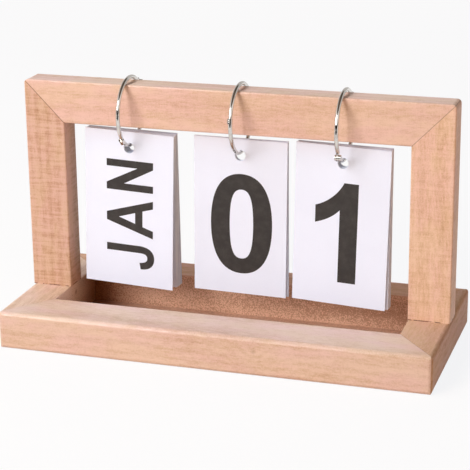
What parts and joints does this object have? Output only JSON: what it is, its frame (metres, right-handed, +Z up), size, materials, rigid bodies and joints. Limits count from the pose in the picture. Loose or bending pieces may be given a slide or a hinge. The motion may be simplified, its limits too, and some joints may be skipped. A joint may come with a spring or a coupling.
{
  "type": "perpetual desk calendar",
  "caption": "Wooden desk calendar: mitred tray base and upright frame, with month and day cards that flip on hinged metal rings round the top rail.",
  "frame": {"origin": "middle of the base's underside, on the surface that it stands on", "axes": "+X to the right as seen from the front, +Y to the back, +Z up"},
  "size_m": [0.26, 0.116, 0.1561],
  "materials": {
    "wood": "fine sanded, unfinished",
    "board": "raw hardboard",
    "screw": "zinc plated",
    "nickel": "polished nickel",
    "card": "smooth matt card"
  },
  "bodies": {
    "stand": {"base_front_rail": "wood", "base_rear_rail": "wood", "base_left_rail": "wood", "base_right_rail": "wood", "tray_floor": "board", "left_stile": "wood", "right_stile": "wood", "top_rail": "wood", "stile_screws": "screw"},
    "month_ring": {"month_ring_half": "nickel", "month_ring_pin": "nickel"},
    "month_gate": {"month_ring_gate": "nickel"},
    "month_card_1": {"month_card_1": "card"},
    "month_card_2": {"month_card_2": "card"},
    "month_card_3": {"month_card_3": "card"},
    "month_card_4": {"month_card_4": "card"},
    "month_card_5": {"month_card_5": "card"},
    "month_card_6": {"month_card_6": "card"},
    "month_card_7": {"month_card_7": "card"},
    "month_card_8": {"month_card_8": "card"},
    "month_card_9": {"month_card_9": "card"},
    "month_card_10": {"month_card_10": "card"},
    "month_card_11": {"month_card_11": "card"},
    "month_card_12": {"month_card_12": "card"},
    "tens_ring": {"tens_ring_half": "nickel", "tens_ring_pin": "nickel"},
    "tens_gate": {"tens_ring_gate": "nickel"},
    "tens_card_1": {"tens_card_1": "card"},
    "tens_card_2": {"tens_card_2": "card"},
    "tens_card_3": {"tens_card_3": "card"},
    "tens_card_4": {"tens_card_4": "card"},
    "ones_ring": {"ones_ring_half": "nickel", "ones_ring_pin": "nickel"},
    "ones_gate": {"ones_ring_gate": "nickel"},
    "ones_card_1": {"ones_card_1": "card"},
    "ones_card_2": {"ones_card_2": "card"},
    "ones_card_3": {"ones_card_3": "card"},
    "ones_card_4": {"ones_card_4": "card"},
    "ones_card_5": {"ones_card_5": "card"},
    "ones_card_6": {"ones_card_6": "card"},
    "ones_card_7": {"ones_card_7": "card"},
    "ones_card_8": {"ones_card_8": "card"},
    "ones_card_9": {"ones_card_9": "card"},
    "ones_card_10": {"ones_card_10": "card"}
  },
  "joints": [
    {"name": "month_ring_slide", "type": "slide", "parent": "stand", "child": "month_ring", "axis": [1, 0, 0], "range_m": [-0.005, 0.004]},
    {"name": "month_gate_hinge", "type": "hinge", "parent": "month_ring", "child": "month_gate", "pos_m": [-0.0658, 0.0194, 0.14851], "axis": [1, 0, 0], "range_deg": [-70, 0]},
    {"name": "month_card_1_flip", "type": "hinge", "parent": "month_ring", "child": "month_card_1", "pos_m": [-0.0658, 0.00275, 0.13454], "axis": [-1, 0, 0], "range_deg": [0, 110]},
    {"name": "month_card_2_flip", "type": "hinge", "parent": "month_ring", "child": "month_card_2", "pos_m": [-0.0658, 0.00275, 0.13454], "axis": [1, 0, 0], "range_deg": [0, 110]},
    {"name": "month_card_3_flip", "type": "hinge", "parent": "month_ring", "child": "month_card_3", "pos_m": [-0.0658, 0.00275, 0.13454], "axis": [1, 0, 0], "range_deg": [0, 110]},
    {"name": "month_card_4_flip", "type": "hinge", "parent": "month_ring", "child": "month_card_4", "pos_m": [-0.0658, 0.00275, 0.13454], "axis": [1, 0, 0], "range_deg": [0, 110]},
    {"name": "month_card_5_flip", "type": "hinge", "parent": "month_ring", "child": "month_card_5", "pos_m": [-0.0658, 0.00275, 0.13454], "axis": [1, 0, 0], "range_deg": [0, 110]},
    {"name": "month_card_6_flip", "type": "hinge", "parent": "month_ring", "child": "month_card_6", "pos_m": [-0.0658, 0.00275, 0.13454], "axis": [1, 0, 0], "range_deg": [0, 110]},
    {"name": "month_card_7_flip", "type": "hinge", "parent": "month_ring", "child": "month_card_7", "pos_m": [-0.0658, 0.00275, 0.13454], "axis": [1, 0, 0], "range_deg": [0, 110]},
    {"name": "month_card_8_flip", "type": "hinge", "parent": "month_ring", "child": "month_card_8", "pos_m": [-0.0658, 0.00275, 0.13454], "axis": [1, 0, 0], "range_deg": [0, 110]},
    {"name": "month_card_9_flip", "type": "hinge", "parent": "month_ring", "child": "month_card_9", "pos_m": [-0.0658, 0.00275, 0.13454], "axis": [1, 0, 0], "range_deg": [0, 110]},
    {"name": "month_card_10_flip", "type": "hinge", "parent": "month_ring", "child": "month_card_10", "pos_m": [-0.0658, 0.00275, 0.13454], "axis": [1, 0, 0], "range_deg": [0, 110]},
    {"name": "month_card_11_flip", "type": "hinge", "parent": "month_ring", "child": "month_card_11", "pos_m": [-0.0658, 0.00275, 0.13454], "axis": [1, 0, 0], "range_deg": [0, 110]},
    {"name": "month_card_12_flip", "type": "hinge", "parent": "month_ring", "child": "month_card_12", "pos_m": [-0.0658, 0.00275, 0.13454], "axis": [1, 0, 0], "range_deg": [0, 110]},
    {"name": "tens_ring_slide", "type": "slide", "parent": "stand", "child": "tens_ring", "axis": [1, 0, 0], "range_m": [-0.004, 0.0012]},
    {"name": "tens_gate_hinge", "type": "hinge", "parent": "tens_ring", "child": "tens_gate", "pos_m": [0.0027, 0.02393, 0.12965], "axis": [1, 0, 0], "range_deg": [-70, 0]},
    {"name": "tens_card_1_flip", "type": "hinge", "parent": "tens_ring", "child": "tens_card_1", "pos_m": [0.0027, 0.00275, 0.13454], "axis": [-1, 0, 0], "range_deg": [0, 110]},
    {"name": "tens_card_2_flip", "type": "hinge", "parent": "tens_ring", "child": "tens_card_2", "pos_m": [0.0027, 0.00275, 0.13454], "axis": [1, 0, 0], "range_deg": [0, 110]},
    {"name": "tens_card_3_flip", "type": "hinge", "parent": "tens_ring", "child": "tens_card_3", "pos_m": [0.0027, 0.00275, 0.13454], "axis": [1, 0, 0], "range_deg": [0, 110]},
    {"name": "tens_card_4_flip", "type": "hinge", "parent": "tens_ring", "child": "tens_card_4", "pos_m": [0.0027, 0.00275, 0.13454], "axis": [1, 0, 0], "range_deg": [0, 110]},
    {"name": "ones_ring_slide", "type": "slide", "parent": "stand", "child": "ones_ring", "axis": [1, 0, 0], "range_m": [-0.0012, 0.008]},
    {"name": "ones_gate_hinge", "type": "hinge", "parent": "ones_ring", "child": "ones_gate", "pos_m": [0.0648, -0.01262, 0.11917], "axis": [-1, 0, 0], "range_deg": [-70, 0]},
    {"name": "ones_card_1_flip", "type": "hinge", "parent": "ones_ring", "child": "ones_card_1", "pos_m": [0.0648, 0.00275, 0.13454], "axis": [-1, 0, 0], "range_deg": [0, 110]},
    {"name": "ones_card_2_flip", "type": "hinge", "parent": "ones_ring", "child": "ones_card_2", "pos_m": [0.0648, 0.00275, 0.13454], "axis": [1, 0, 0], "range_deg": [0, 110]},
    {"name": "ones_card_3_flip", "type": "hinge", "parent": "ones_ring", "child": "ones_card_3", "pos_m": [0.0648, 0.00275, 0.13454], "axis": [1, 0, 0], "range_deg": [0, 110]},
    {"name": "ones_card_4_flip", "type": "hinge", "parent": "ones_ring", "child": "ones_card_4", "pos_m": [0.0648, 0.00275, 0.13454], "axis": [1, 0, 0], "range_deg": [0, 110]},
    {"name": "ones_card_5_flip", "type": "hinge", "parent": "ones_ring", "child": "ones_card_5", "pos_m": [0.0648, 0.00275, 0.13454], "axis": [1, 0, 0], "range_deg": [0, 110]},
    {"name": "ones_card_6_flip", "type": "hinge", "parent": "ones_ring", "child": "ones_card_6", "pos_m": [0.0648, 0.00275, 0.13454], "axis": [1, 0, 0], "range_deg": [0, 110]},
    {"name": "ones_card_7_flip", "type": "hinge", "parent": "ones_ring", "child": "ones_card_7", "pos_m": [0.0648, 0.00275, 0.13454], "axis": [1, 0, 0], "range_deg": [0, 110]},
    {"name": "ones_card_8_flip", "type": "hinge", "parent": "ones_ring", "child": "ones_card_8", "pos_m": [0.0648, 0.00275, 0.13454], "axis": [1, 0, 0], "range_deg": [0, 110]},
    {"name": "ones_card_9_flip", "type": "hinge", "parent": "ones_ring", "child": "ones_card_9", "pos_m": [0.0648, 0.00275, 0.13454], "axis": [1, 0, 0], "range_deg": [0, 110]},
    {"name": "ones_card_10_flip", "type": "hinge", "parent": "ones_ring", "child": "ones_card_10", "pos_m": [0.0648, 0.00275, 0.13454], "axis": [1, 0, 0], "range_deg": [0, 110]}
  ],
  "couplings": [
    {"joint": "month_card_2_flip", "follows": "month_card_12_flip", "ratio": 0.0909},
    {"joint": "month_card_3_flip", "follows": "month_card_12_flip", "ratio": 0.1818},
    {"joint": "month_card_4_flip", "follows": "month_card_12_flip", "ratio": 0.2727},
    {"joint": "month_card_5_flip", "follows": "month_card_12_flip", "ratio": 0.3636},
    {"joint": "month_card_6_flip", "follows": "month_card_12_flip", "ratio": 0.4545},
    {"joint": "month_card_7_flip", "follows": "month_card_12_flip", "ratio": 0.5455},
    {"joint": "month_card_8_flip", "follows": "month_card_12_flip", "ratio": 0.6364},
    {"joint": "month_card_9_flip", "follows": "month_card_12_flip", "ratio": 0.7273},
    {"joint": "month_card_10_flip", "follows": "month_card_12_flip", "ratio": 0.8182},
    {"joint": "month_card_11_flip", "follows": "month_card_12_flip", "ratio": 0.9091},
    {"joint": "tens_card_2_flip", "follows": "tens_card_4_flip", "ratio": 0.3333},
    {"joint": "tens_card_3_flip", "follows": "tens_card_4_flip", "ratio": 0.6667},
    {"joint": "ones_card_2_flip", "follows": "ones_card_10_flip", "ratio": 0.1111},
    {"joint": "ones_card_3_flip", "follows": "ones_card_10_flip", "ratio": 0.2222},
    {"joint": "ones_card_4_flip", "follows": "ones_card_10_flip", "ratio": 0.3333},
    {"joint": "ones_card_5_flip", "follows": "ones_card_10_flip", "ratio": 0.4444},
    {"joint": "ones_card_6_flip", "follows": "ones_card_10_flip", "ratio": 0.5556},
    {"joint": "ones_card_7_flip", "follows": "ones_card_10_flip", "ratio": 0.6667},
    {"joint": "ones_card_8_flip", "follows": "ones_card_10_flip", "ratio": 0.7778},
    {"joint": "ones_card_9_flip", "follows": "ones_card_10_flip", "ratio": 0.8889}
  ]
}
